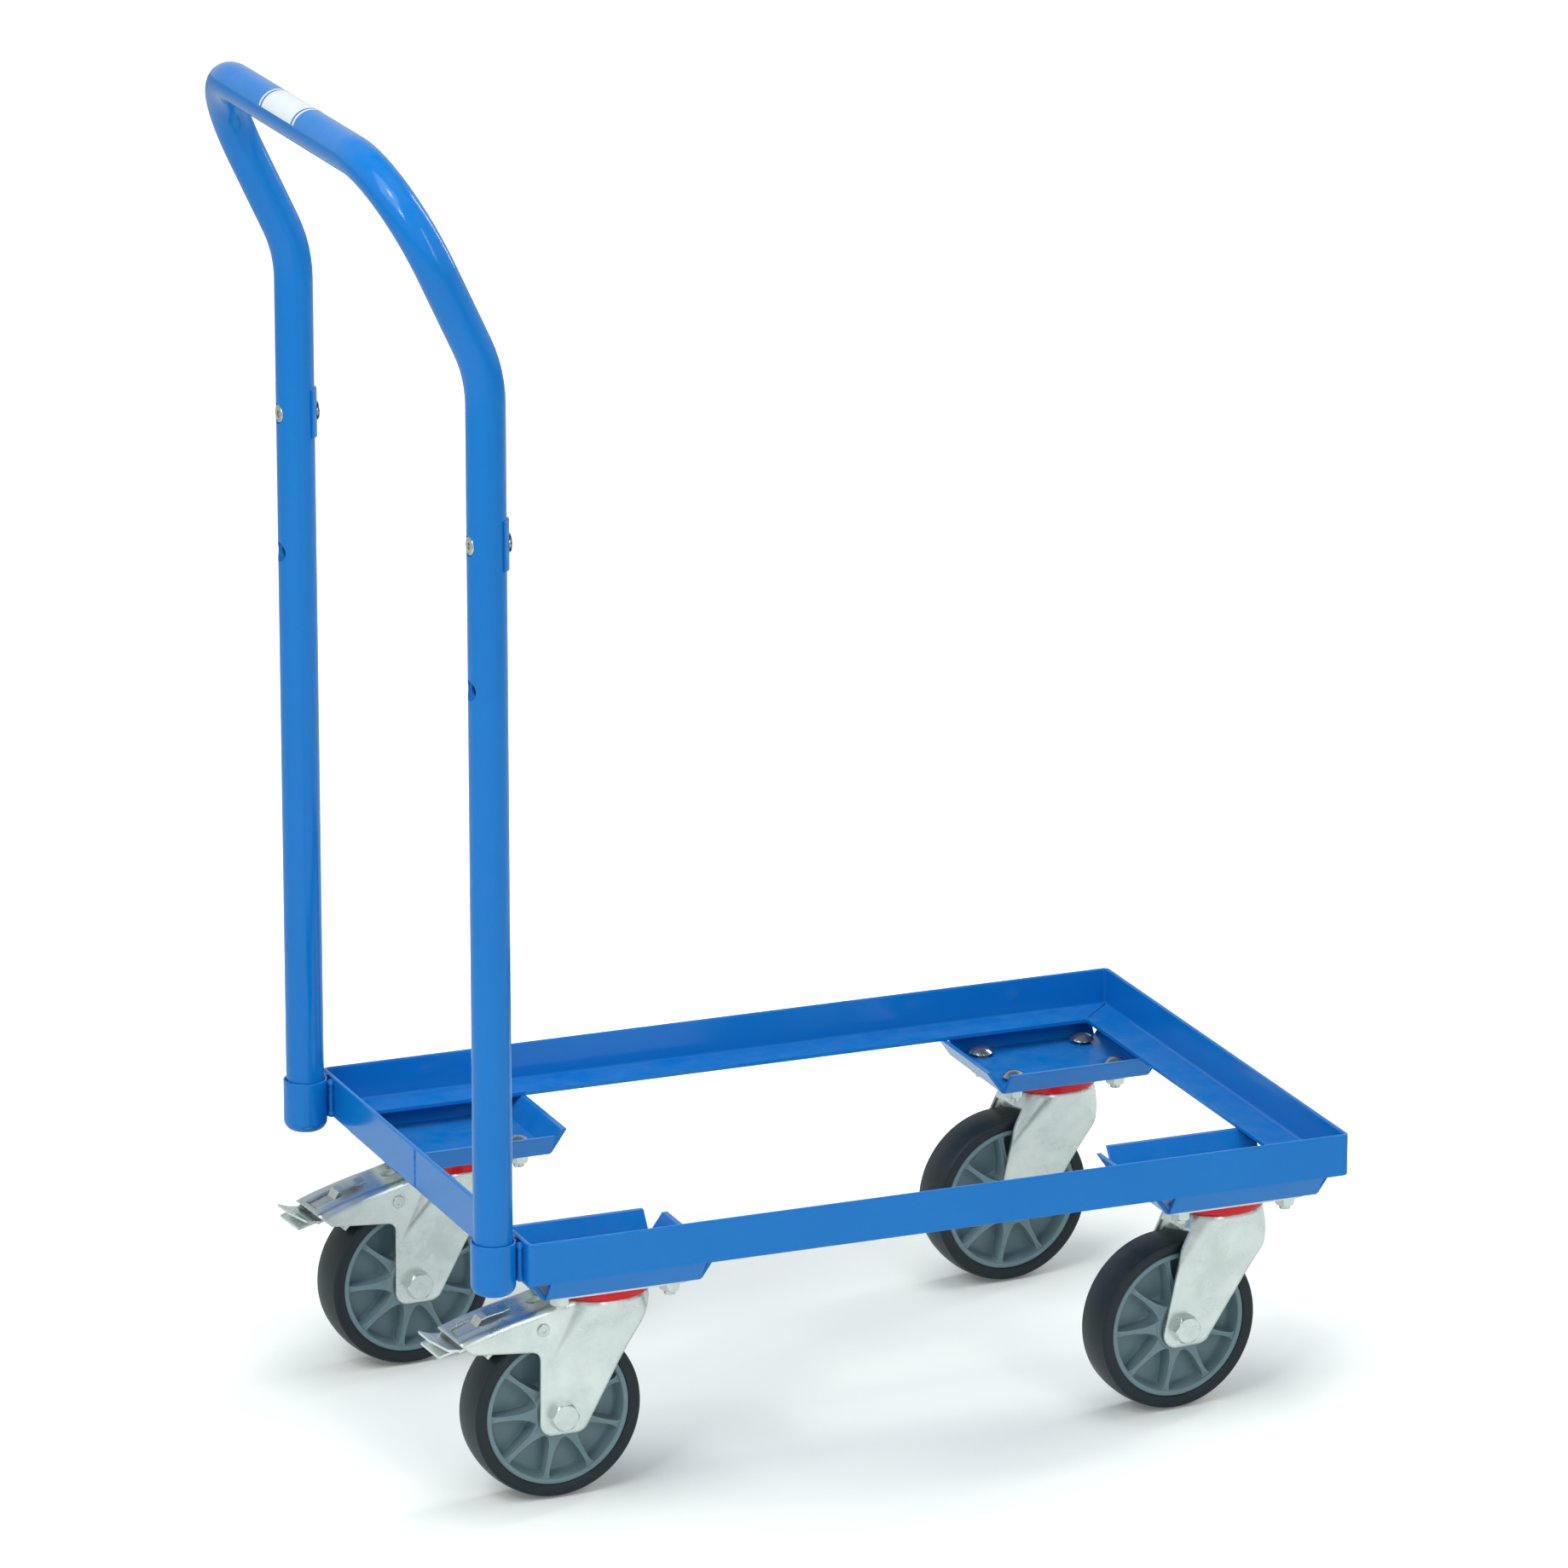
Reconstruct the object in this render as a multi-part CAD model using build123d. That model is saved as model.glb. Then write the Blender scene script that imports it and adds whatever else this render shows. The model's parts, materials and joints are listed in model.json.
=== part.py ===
"""Euro-box dolly with a plug-in push bar: an open angle-steel frame on four swivel casters.

Units are millimetres. +Z is up, the floor is z = 0, +X is the front of the dolly and the push bar
stands at the rear (-X). The origin is on the floor under the middle of the bounding box.
"""
import os
from math import atan2, cos, degrees, radians, sin, sqrt, tan

from build123d import *

# --- angle-steel frame -------------------------------------------------------------------------
FRAME_L = 611.0            # outside length, so that a 600 mm box drops in
FRAME_W = 411.0            # outside width, so that a 400 mm box drops in
ANGLE = 30.0               # leg of the equal angle
ANGLE_T = 3.0              # thickness of the angle
FRAME_TOP = 202.0          # height of the frame's upper edge
FRAME_BASE = FRAME_TOP - ANGLE
SEAT_Z = FRAME_BASE + ANGLE_T
CORNER_R = 5.0             # bent corner, outside
ROOT_R = 2.5               # fillet inside the angle
TOE_R = 1.0                # rounded free edges of the rolled angle
MITRE_GROOVE = 0.7         # width and depth of the mitre line on the seat
SEAM_Y = 15.0              # butt weld of the bent frame, on the rear rail

# --- caster trays ------------------------------------------------------------------------------
SHEET = 3.0
CASTER_X = 231.0           # caster axes from the middle of the frame
CASTER_Y = 144.0
TRAY_X = (173.5, 289.0)    # fold to fold
TRAY_Y = (94.0, 190.0)
TRAY_RUN = 12.0            # how far each flange leans out
TRAY_Z = 155.0             # underside of the tray floor
BOLT_X = 80.0              # hole pattern of the caster plate
BOLT_Y = 60.0
BOLT_HOLE_R = 4.3

# --- push bar and its sockets --------------------------------------------------------------------
TUBE_R = 13.45
TUBE_T = 2.0
POST_X = -324.0            # from the middle of the frame
POST_Y = 187.0
BEND_Z = 804.0             # where the axes of post and upper leg meet
LEAN = 25.0                # degrees that the upper legs lean back
GRIP_Z = 940.5             # axis of the cross grip
LOWER_BEND_R = 95.0
UPPER_BEND_R = 72.0
SOCKET_R = 15.5
SOCKET_BORE_R = 13.9
SOCKET_BASE = 164.5
SOCKET_FLOOR = 167.0
SOCKET_ROUND = 7.5         # outside; the wall stays even round the closed end
SOCKET_IN_ROUND = 6.0
POST_FOOT = 171.0          # lower end of the tube, on the socket's inner round
LOWER_HOLE_Z = 589.0       # free accessory hole in each post
UPPER_HOLE_Z = 688.0       # hole taken by a recessed screw
RECESS_R = 7.2
RECESS_DEPTH = 3.2
ACCESSORY_R = 4.3
PAD_T = 1.6
PAD_H = 34.0
PAD_HALF_ARC = 55.0
RIVNUT_R = 5.5
RIVNUT_RIM = 1.5           # flange beyond the sleeve
RIVNUT_RIM_T = 0.6
LABEL_T = 0.2
LABEL_W = 68.0             # blank label in the middle of the grip
LABEL_HALF_ARC = 53.0      # degrees
LABEL_TURN = 112.0         # middle of the label round the grip, from the front over the top

# --- 125 mm swivel casters -----------------------------------------------------------------------
WHEEL_R = 62.5
WHEEL_W = 32.0
CROWN_R = 66.0             # radius of the tread's crown
TYRE_IN_R = 52.6
TRAIL = 37.0
PLATE_L = 105.0
PLATE_W = 80.0
PLATE_T = 3.0
PLATE_Z = TRAY_Z - PLATE_T
CROWN_Z = 144.5            # top of the fork
FORK_T = 2.5
CHEEK_OUT = 22.0           # outside of a cheek from the wheel's middle plane
CHEEK_IN = CHEEK_OUT - FORK_T
TUNNEL_Z = 132.0           # the fork is open below this, over the wheel
CROWN_DISC_R = 33.0
HOOD_U = -22.0             # the brake hood ends here, on the crown
FLARE_Z = 92.0             # where the flat cheeks begin to widen into the crown
FLARE_MID_Z = 116.0        # half way up they lean out by FLARE_MID_V
FLARE_MID_V = 2.2
FLARE_L = 96.0             # longer than the fork, whose side view trims it
FLARE_U = -7.5
BALL_R = 2.5
RACE_Z = CROWN_Z + 2 * BALL_R + 0.1   # running face of the upper ball race
BALL_PITCH_R = 24.0
BALL_COUNT = 18
DUST_R = 35.5
DUST_IN_R = 31.3
DUST_H = 6.3
KING_R = 6.0
RUNNING = 0.05             # radial clearance of a running fit
AXLE_R = 6.0
AXLE_HEX = 18.0            # across the flats of the axle bolt's head and nut
SLEEVE_R = 8.0
HUB_R = 18.5
HUB_HALF = 18.6
RIM_IN_R = 48.6
RIM_HALF = 14.5
WEB_HALF = 2.5
SPOKES = 9

# --- pedal brake of the rear casters -------------------------------------------------------------
PIVOT_U = -50.5
PIVOT_Z = 125.8
PIVOT_R = 3.5
PEDAL_T = 2.0
PEDAL_HALF = 18.9
SHOE_GAP = 3.4
SLOT_U = (-108.0, -88.0)   # slot in the hood for the catch spring
SLOT_HALF = 8.0
SPRING_HALF = 6.0
RIVET_HEAD_R = 4.2
RIVET_HEAD_T = 1.3

HANDLE_BACK = (GRIP_Z - BEND_Z) * tan(radians(LEAN))
GRIP_X = POST_X - HANDLE_BACK
SHIFT_X = -(FRAME_L / 2 + GRIP_X - TUBE_R) / 2

# corner name: side along X, side along Y, resting yaw in degrees, has a brake
CORNERS = {
    "rear_right": (-1, -1, 2.0, True),
    "rear_left": (-1, 1, 4.0, True),
    "front_right": (1, -1, 6.0, False),
    "front_left": (1, 1, 5.0, False),
}


def block(x0, x1, y0, y1, z0, z1):
    """Box given by its limits."""
    centre = ((x0 + x1) / 2, (y0 + y1) / 2, (z0 + z1) / 2)
    return Pos(*centre) * Box(x1 - x0, y1 - y0, z1 - z0)


def rod(radius, z0, z1, x=0.0, y=0.0):
    """Upright cylinder."""
    return Pos(x, y, (z0 + z1) / 2) * Cylinder(radius, z1 - z0)


def cross_rod(radius, v0, v1, u=0.0, z=0.0):
    """Cylinder along Y."""
    return Pos(u, (v0 + v1) / 2, z) * Rot(90, 0, 0) * Cylinder(radius, v1 - v0)


def hexagon_across(flats, height):
    """Hexagonal prism with chamfered corners, standing on z = 0."""
    prism = extrude(RegularPolygon(flats / 2, 6, major_radius=False), height)
    return prism & Cone(flats / 2 + height, flats / 2 * 0.97, height, align=(Align.CENTER, Align.CENTER, Align.MIN))


def side_plate(outline, v0, v1):
    """Extrude a face drawn in the XZ plane from Y = v0 to Y = v1."""
    return Pos(0, v0, 0) * extrude(outline, amount=v1 - v0, dir=(0, 1, 0))


def polygon_xz(points):
    """Face in the XZ plane through the given (x, z) points."""
    corners = [Vector(x, 0, z) for x, z in points]
    return make_face(Polyline(*corners, close=True))


def annulus(r_out, r_in, z0, z1):
    return rod(r_out, z0, z1) - rod(r_in, z0 - 1, z1 + 1)


# --- frame ---------------------------------------------------------------------------------------
def angle_frame():
    half_l = FRAME_L / 2
    half_w = FRAME_W / 2
    outer = block(-half_l, half_l, -half_w, half_w, FRAME_BASE, FRAME_TOP)
    outer = fillet(outer.edges().filter_by(Axis.Z), CORNER_R)
    outer = fillet(outer.faces().sort_by(Axis.Z)[0].edges(), TOE_R)
    inside_l = half_l - ANGLE_T
    inside_w = half_w - ANGLE_T
    pocket = block(-inside_l, inside_l, -inside_w, inside_w, SEAT_Z, FRAME_TOP + 10)
    pocket = fillet(pocket.edges().filter_by(Axis.Z), CORNER_R - ANGLE_T)
    pocket = fillet(pocket.faces().sort_by(Axis.Z)[0].edges(), CORNER_R - ANGLE_T - 0.01)
    opening = block(ANGLE - half_l, half_l - ANGLE, ANGLE - half_w, half_w - ANGLE, FRAME_BASE - 5, SEAT_Z + 5)
    frame = outer - pocket - opening
    rim = frame.edges().filter_by(lambda e: abs(e.center().Z - FRAME_TOP) < 0.01)
    frame = fillet(rim, TOE_R)
    groove_len = (ANGLE - CORNER_R) * sqrt(2)
    for side_x in (-1, 1):
        for side_y in (-1, 1):
            mid = (half_l - ANGLE / 2 - 1, half_w - ANGLE / 2 - 1)
            groove = Box(groove_len, MITRE_GROOVE, 2 * MITRE_GROOVE)
            turn = 45 * side_x * side_y
            frame -= Pos(side_x * mid[0], side_y * mid[1], SEAT_Z) * Rot(0, 0, turn) * groove
    return frame


def tray(side_x, side_y):
    """Folded caster tray: flat floor and four flanges leaning outwards, open at the corners."""
    rise = FRAME_BASE - TRAY_Z
    lean = atan2(rise, TRAY_RUN)
    cover = SHEET / sin(lean)
    fold = SHEET * (1 - cos(lean)) / sin(lean)

    def channel(low, high, length):
        points = [
            (low, 0),
            (high, 0),
            (high + TRAY_RUN, rise),
            (high + TRAY_RUN - cover, rise),
            (high - fold, SHEET),
            (low + fold, SHEET),
            (low - TRAY_RUN + cover, rise),
            (low - TRAY_RUN, rise),
        ]
        section = side_plate(polygon_xz(points), 0, length)
        folds = section.edges().filter_by(Axis.Y).filter_by(lambda e: abs(e.center().Z) < 0.01)
        return fillet(folds, SHEET)

    inset = 1.5
    along_x = Pos(0, TRAY_Y[0] + inset, TRAY_Z) * channel(TRAY_X[0], TRAY_X[1], TRAY_Y[1] - TRAY_Y[0] - 2 * inset)
    across = channel(TRAY_Y[0], TRAY_Y[1], TRAY_X[1] - TRAY_X[0] - 2 * inset)
    across = Pos(TRAY_X[1] - inset, 0, TRAY_Z) * Rot(0, 0, 90) * across
    body = along_x + across
    for ix in (-1, 1):
        for iy in (-1, 1):
            body -= rod(BOLT_HOLE_R, TRAY_Z - 5, TRAY_Z + 10, CASTER_X + ix * BOLT_X / 2, CASTER_Y + iy * BOLT_Y / 2)
    if side_x < 0:
        body = mirror(body, Plane.YZ)
    if side_y < 0:
        body = mirror(body, Plane.XZ)
    return body


def socket(side_y):
    cup = rod(SOCKET_R, SOCKET_BASE, FRAME_TOP)
    cup = fillet(cup.edges().sort_by(Axis.Z)[0], SOCKET_ROUND)
    bore = rod(SOCKET_BORE_R, SOCKET_FLOOR, FRAME_TOP + 5)
    cup -= fillet(bore.edges().sort_by(Axis.Z)[0], SOCKET_IN_ROUND)
    cup = fillet(cup.faces().sort_by(Axis.Z)[-1].edges(), 0.6)
    return Pos(POST_X, side_y * POST_Y, 0) * cup


def weld_run(x, y, z0, z1, radius, steps):
    """Rippled weld bead: a rod with a row of overlapping balls."""
    bead = rod(radius * 0.8, z0, z1, x, y)
    for i in range(steps):
        z = z0 + (z1 - z0) * i / (steps - 1)
        bead += Pos(x, y, z) * Sphere(radius)
    return bead


def weld_beads():
    rail_face = -FRAME_L / 2
    rail = block(rail_face, rail_face + ANGLE_T, -FRAME_W, FRAME_W, 0, 400)
    beads = []
    for side in (-1, 1):
        cup = rod(SOCKET_R, 0, 400, POST_X, side * POST_Y)
        for offset in (-6.5, 6.5):
            bead = weld_run(rail_face - 1.7, side * POST_Y + offset, SOCKET_BASE + 11, FRAME_TOP - 4, 3.0, 7)
            beads.append(bead - rail - cup)
    seam = weld_run(rail_face, SEAM_Y, FRAME_BASE + 2.5, FRAME_TOP - 2.5, 1.7, 11)
    beads.append(seam - rail)
    return beads


# --- push bar --------------------------------------------------------------------------------------
def handle_axis():
    points = [
        (POST_X, -POST_Y, POST_FOOT),
        (POST_X, -POST_Y, BEND_Z),
        (GRIP_X, -POST_Y, GRIP_Z),
        (GRIP_X, POST_Y, GRIP_Z),
        (POST_X, POST_Y, BEND_Z),
        (POST_X, POST_Y, POST_FOOT),
    ]
    return FilletPolyline(*points, radius=[LOWER_BEND_R, UPPER_BEND_R, UPPER_BEND_R, LOWER_BEND_R])


def rod_x(radius, x0, x1, y, z):
    """Cylinder along X."""
    return Pos((x0 + x1) / 2, y, z) * Rot(0, 90, 0) * Cylinder(radius, x1 - x0)


def push_bar():
    path = handle_axis()
    start = Plane(origin=path @ 0, z_dir=path % 0)
    tube = sweep(start * Circle(TUBE_R), path=path) - sweep(start * Circle(TUBE_R - TUBE_T), path=path)
    back = POST_X - TUBE_R
    for side in (-1, 1):
        y = side * POST_Y
        skin = rod(TUBE_R, LOWER_HOLE_Z - 40, UPPER_HOLE_Z + 40, POST_X, y)
        for z in (LOWER_HOLE_Z, UPPER_HOLE_Z):
            cup = rod_x(RECESS_R + 1.6, back - 1, back + RECESS_DEPTH + 2, y, z) & skin
            tube += cup
            tube -= rod_x(RECESS_R, back - 1, back + RECESS_DEPTH, y, z)
            tube -= rod_x(ACCESSORY_R, back - 1, POST_X + TUBE_R + 1, y, z)
        tube -= rod_x(RIVNUT_R, POST_X, POST_X + TUBE_R + 1, y, UPPER_HOLE_Z)
    return tube


def wedge_about_x(half_arc, height):
    """Upright wedge with its edge on Z, spanning half_arc degrees each side of +X."""
    reach = 3 * TUBE_R
    edge = radians(half_arc)
    points = [(0, 0), (reach * cos(edge), -reach * sin(edge)), (reach * cos(edge), reach * sin(edge))]
    return extrude(make_face(Polyline(*points, close=True)), height)


def saddle_pads():
    pads = []
    for side in (-1, 1):
        ring = annulus(TUBE_R + PAD_T, TUBE_R, UPPER_HOLE_Z - PAD_H / 2, UPPER_HOLE_Z + PAD_H / 2)
        wedge = Pos(0, 0, UPPER_HOLE_Z - PAD_H) * wedge_about_x(PAD_HALF_ARC, 2 * PAD_H)
        pad = Pos(POST_X, side * POST_Y, 0) * (ring & wedge)
        pads.append(pad - rod_x(RIVNUT_R, POST_X, POST_X + 2 * TUBE_R, side * POST_Y, UPPER_HOLE_Z))
    return pads


def handle_screws():
    screws = []
    face = POST_X - TUBE_R + RECESS_DEPTH
    for side in (-1, 1):
        head = Rot(0, -90, 0) * fillet(Cylinder(RECESS_R - 0.5, 2.4).edges().sort_by(Axis.Z)[-1], 1.0)
        head = Pos(face - 1.2, side * POST_Y, UPPER_HOLE_Z) * head
        key = Rot(0, 90, 0) * extrude(RegularPolygon(2.5, 6, major_radius=False), 3)
        head -= Pos(face - 3.5, side * POST_Y, UPPER_HOLE_Z) * key
        shank = rod_x(3.95, face, POST_X + TUBE_R + 2, side * POST_Y, UPPER_HOLE_Z)
        screws.append(head + shank)
    return screws


def rivet_nuts():
    nuts = []
    front = POST_X + TUBE_R + PAD_T
    for side in (-1, 1):
        y = side * POST_Y
        flange = rod_x(RIVNUT_R + RIVNUT_RIM, front, front + RIVNUT_RIM_T, y, UPPER_HOLE_Z)
        sleeve = rod_x(RIVNUT_R - 0.02, front - 12, front, y, UPPER_HOLE_Z)
        nuts.append(flange + sleeve - rod_x(4.0, front - 15, front + 5, y, UPPER_HOLE_Z))
    return nuts


def grip_label():
    """Blank label bent round the upper rear of the grip."""
    band = Cylinder(TUBE_R + LABEL_T, LABEL_W) - Cylinder(TUBE_R, LABEL_W + 2)
    wedge = Pos(0, 0, -LABEL_W) * wedge_about_x(LABEL_HALF_ARC, 2 * LABEL_W)
    patch = Rot(90, 0, 0) * (Rot(0, 0, LABEL_TURN) * (band & wedge))
    return Pos(GRIP_X, 0, GRIP_Z) * patch


# --- fasteners of the caster plates ------------------------------------------------------------------
def plate_points(side_x, side_y):
    for ix in (-1, 1):
        for iy in (-1, 1):
            yield side_x * CASTER_X + ix * BOLT_X / 2, side_y * CASTER_Y + iy * BOLT_Y / 2


def coach_bolt():
    """Domed coach bolt standing on its square neck, z = 0 at the tray floor."""
    neck_h = 2.6
    head_r = 9.0
    head_h = 4.6
    ball_r = (head_r ** 2 + head_h ** 2) / (2 * head_h)
    dome = Pos(0, 0, neck_h + head_h - ball_r) * Sphere(ball_r) & rod(head_r, neck_h, neck_h + head_h + 1)
    neck = Pos(0, 0, neck_h / 2) * Box(8, 8, neck_h)
    return dome + neck + rod(3.95, -15.5, 0.0)


def plate_bolts():
    bolt = Pos(0, 0, TRAY_Z + SHEET) * coach_bolt()
    return [Pos(x, y, 0) * bolt for sx, sy, *_ in CORNERS.values() for x, y in plate_points(sx, sy)]


def plate_nuts():
    nut = Pos(0, 0, PLATE_Z) * Rot(180, 0, 0) * hexagon_across(13, 6.5) - rod(3.97, 0, 400)
    return [Pos(x, y, 0) * nut for sx, sy, *_ in CORNERS.values() for x, y in plate_points(sx, sy)]


# --- caster pieces, drawn with the swivel axis on Z and the wheel towards -X ----------------------------
def caster_plate():
    plate = Pos(0, 0, (PLATE_Z + TRAY_Z) / 2) * extrude(RectangleRounded(PLATE_L, PLATE_W, 9), PLATE_T / 2, both=True)
    dish = Pos(0, 0, (RACE_Z + PLATE_Z) / 2) * Cone(30, 32.5, PLATE_Z - RACE_Z)
    plate += dish
    plate -= rod(KING_R, 0, 400)
    for ix in (-1, 1):
        for iy in (-1, 1):
            plate -= rod(BOLT_HOLE_R, 0, 400, ix * BOLT_X / 2, iy * BOLT_Y / 2)
    return plate


def king_pin():
    head = fillet(rod(10, CROWN_Z - FORK_T - 3.6, CROWN_Z - FORK_T - 0.1).edges().sort_by(Axis.Z)[0], 1.5)
    return head + rod(KING_R, CROWN_Z - FORK_T - 3, TRAY_Z - 0.3)


def swivel_balls():
    balls = []
    for i in range(BALL_COUNT):
        turn = radians(360 * i / BALL_COUNT)
        balls.append(Pos(BALL_PITCH_R * cos(turn), BALL_PITCH_R * sin(turn), CROWN_Z + BALL_R) * Sphere(BALL_R))
    return balls


def dust_ring():
    """Red ring that closes the gap between crown and plate, with a lip round its upper edge."""
    ring = annulus(DUST_R - 0.8, DUST_IN_R, CROWN_Z, CROWN_Z + DUST_H)
    lip = annulus(DUST_R, DUST_IN_R + 1, CROWN_Z + DUST_H - 2.2, CROWN_Z + DUST_H)
    ring += lip
    return fillet(ring.edges().filter_by(GeomType.CIRCLE).group_by(Axis.Z)[-1], 0.6)


def crown_form(inset):
    """The pressed crown: a disc at the top that narrows down into the flat cheeks."""
    half = CHEEK_OUT - inset
    round_side = 2 * (CROWN_DISC_R - inset)
    low = RectangleRounded(FLARE_L, 2 * half, 4)
    middle = RectangleRounded((FLARE_L + round_side) / 2, 2 * (half + FLARE_MID_V), 14)
    high = RectangleRounded(round_side, round_side, CROWN_DISC_R - inset - 0.3)
    levels = [
        Pos(FLARE_U, 0, FLARE_Z) * low,
        Pos(FLARE_U / 2, 0, FLARE_MID_Z) * middle,
        Pos(0, 0, CROWN_Z - inset) * high,
    ]
    return fillet(loft(levels).faces().sort_by(Axis.Z)[-1].edges(), 4.5 - inset)


def plain_cheek():
    """Side view of the plain fork leg, in the XZ plane."""
    face = polygon_xz([(-33, CROWN_Z), (32.5, CROWN_Z), (26, 114), (-20, 48.5), (-55, 48.5)])
    low = face.vertices().sort_by(Axis.Z)[:2]
    face = fillet(low, 10)
    bend = face.vertices().filter_by(lambda v: v.X > 5 and v.Z < 120)
    return fillet(bend, 30)


def hood_line(drop=0.0):
    """Top of the brake hood in side view, lowered by drop."""
    points = [(-112, 123.5), (-90, 130.6), (-70, 135.6), (-48, 140.2), (HOOD_U, CROWN_Z)]
    return Spline(*[Vector(u, 0, z - drop) for u, z in points], tangents=[(1, 0, 0.42), (1, 0, 0)])


def braked_cheek():
    """Side view of the fork leg that carries the brake hood."""
    top = hood_line()
    rest = [(HOOD_U, CROWN_Z), (32.5, CROWN_Z), (-21, 48.5), (-53, 48.5), (-52.5, 110), (-102, 115), (-112, 123.5)]
    lower = Polyline(*[Vector(u, 0, z) for u, z in rest])
    face = make_face(top + lower)
    corners = face.vertices().filter_by(lambda v: v.Z < 50)
    face = fillet(corners, 9)
    armpit = face.vertices().filter_by(lambda v: abs(v.X + 52.5) < 0.1 and abs(v.Z - 110) < 0.1)
    return fillet(armpit, 7)


def hood_hollow():
    """Space under the hood: FORK_T below its top, open at the rear and over the wheel."""
    under = hood_line(FORK_T)
    back = -140
    rest = Polyline(
        Vector(HOOD_U, 0, CROWN_Z - FORK_T),
        Vector(HOOD_U, 0, FLARE_Z - 1),
        Vector(back, 0, FLARE_Z - 1),
        Vector(back, 0, 121),
        Vector(-112, 0, 123.5 - FORK_T),
    )
    return side_plate(make_face(under + rest), -CHEEK_IN, CHEEK_IN)


def swivel_fork(braked):
    """Pressed fork: two cheeks and a crown; the braked one runs back into a hood over the wheel."""
    outline = braked_cheek() if braked else plain_cheek()
    crown_from = HOOD_U if braked else -200
    body = side_plate(outline, -CHEEK_OUT, CHEEK_OUT)
    if braked:
        roof = body.edges().filter_by(lambda e: abs(abs(e.center().Y) - CHEEK_OUT) < 0.01 and e.center().Z > 130)
        body = fillet(roof.sort_by(Axis.X)[:2], 5)
    body -= block(crown_from, 200, -60, 60, FLARE_Z, 200)
    trim = side_plate(outline, -60, 60)
    body += crown_form(0.0) & trim
    body -= crown_form(FORK_T)
    body -= block(-200, 200, -CHEEK_IN, CHEEK_IN, 0, FLARE_Z)
    if braked:
        body -= hood_hollow()
        body -= block(*SLOT_U, -SLOT_HALF, SLOT_HALF, 110, 150)
        dimple_r = 12.0
        body -= Pos(-51, 0, 139.6 + dimple_r - 1.0) * Sphere(dimple_r)
        for side in (-1, 1):
            body -= cross_rod(PIVOT_R, side * 30 - 12, side * 30 + 12, PIVOT_U, PIVOT_Z)
    tunnel_from = HOOD_U - 12 if braked else -60
    body -= block(tunnel_from, 40, -CHEEK_IN, CHEEK_IN, 0, TUNNEL_Z)
    body -= rod(KING_R + RUNNING, 0, 400)
    body -= cross_rod(AXLE_R, -60, 60, -TRAIL, WHEEL_R)
    return body


def axle_bolt():
    head = Rot(90, 0, 0) * hexagon_across(AXLE_HEX, 7.5)
    bolt = Pos(-TRAIL, -CHEEK_OUT, WHEEL_R) * head
    bolt += cross_rod(AXLE_R, -CHEEK_OUT - 0.5, CHEEK_OUT + 12, -TRAIL, WHEEL_R)
    return bolt


def axle_nut():
    nut = Pos(-TRAIL, CHEEK_OUT, WHEEL_R) * Rot(-90, 0, 0) * hexagon_across(AXLE_HEX, 9.0)
    return nut - cross_rod(AXLE_R, 0, 60, -TRAIL, WHEEL_R)


def axle_sleeve():
    tube = cross_rod(SLEEVE_R, -CHEEK_IN, CHEEK_IN, -TRAIL, WHEEL_R)
    return tube - cross_rod(AXLE_R, -60, 60, -TRAIL, WHEEL_R)


def on_axle(shape):
    """Turn a piece drawn round Z into place on the wheel axle."""
    return Pos(-TRAIL, 0, WHEEL_R) * Rot(90, 0, 0) * shape


def tyre():
    half = WHEEL_W / 2
    edge_r = WHEEL_R - half ** 2 / (2 * CROWN_R)
    shoulder = 2.5
    tread = ThreePointArc((edge_r, -half + shoulder), (WHEEL_R, 0), (edge_r, half - shoulder))
    upper = ThreePointArc((edge_r, half - shoulder), (edge_r - 0.8, half - 0.8), (edge_r - shoulder, half))
    wall = Polyline((edge_r - shoulder, half), (TYRE_IN_R + 1.5, half - 1.2), (TYRE_IN_R, half - 1.8))
    bore = Line((TYRE_IN_R, half - 1.8), (TYRE_IN_R, -half + 1.8))
    wall_2 = Polyline((TYRE_IN_R, -half + 1.8), (TYRE_IN_R + 1.5, -half + 1.2), (edge_r - shoulder, -half))
    lower = ThreePointArc((edge_r - shoulder, -half), (edge_r - 0.8, -half + 0.8), (edge_r, -half + shoulder))
    section = make_face(Plane.XZ * (tread + upper + wall + bore + wall_2 + lower))
    return on_axle(revolve(section, Axis.Z))


def spoke(side):
    """One spoke rib: narrow at the rim, flaring to the hub, standing on the web."""
    start_r = HUB_R - 3
    end_r = RIM_IN_R + 1
    foot = Polyline((start_r, -8.0), (start_r + 10, -3.6), (end_r, -2.0), (end_r, 2.0), (start_r + 10, 3.6),
                    (start_r, 8.0), close=True)
    rib = extrude(make_face(foot), HUB_HALF - 4)
    top_cut = Polyline((0, HUB_HALF - 4), (HUB_R, HUB_HALF - 4), (end_r + 3, RIM_HALF - 4.5), (end_r + 3, 40), (0, 40),
                       close=True)
    rib -= side_plate(make_face(Plane.XZ * top_cut), -20, 20)
    return rib if side > 0 else mirror(rib, Plane.XY)


def wheel_centre():
    body = rod(TYRE_IN_R, -RIM_HALF, RIM_HALF)
    lip = 2.5
    groove = rod(RIM_IN_R, 0, 40) - rod(HUB_R, -1, 41)
    groove = fillet(groove.edges().filter_by(GeomType.CIRCLE).group_by(Axis.Z)[0], lip)
    body -= Pos(0, 0, WEB_HALF) * groove
    body -= Rot(180, 0, 0) * (Pos(0, 0, WEB_HALF) * groove)
    body += rod(HUB_R, -HUB_HALF + 1, HUB_HALF - 1)
    body += rod(SLEEVE_R + 4, -HUB_HALF, HUB_HALF)
    body -= rod(SLEEVE_R + RUNNING, -60, 60)
    for i in range(SPOKES):
        for side in (-1, 1):
            body += Rot(0, 0, 360 * i / SPOKES) * spoke(side)
    return on_axle(body)


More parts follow.
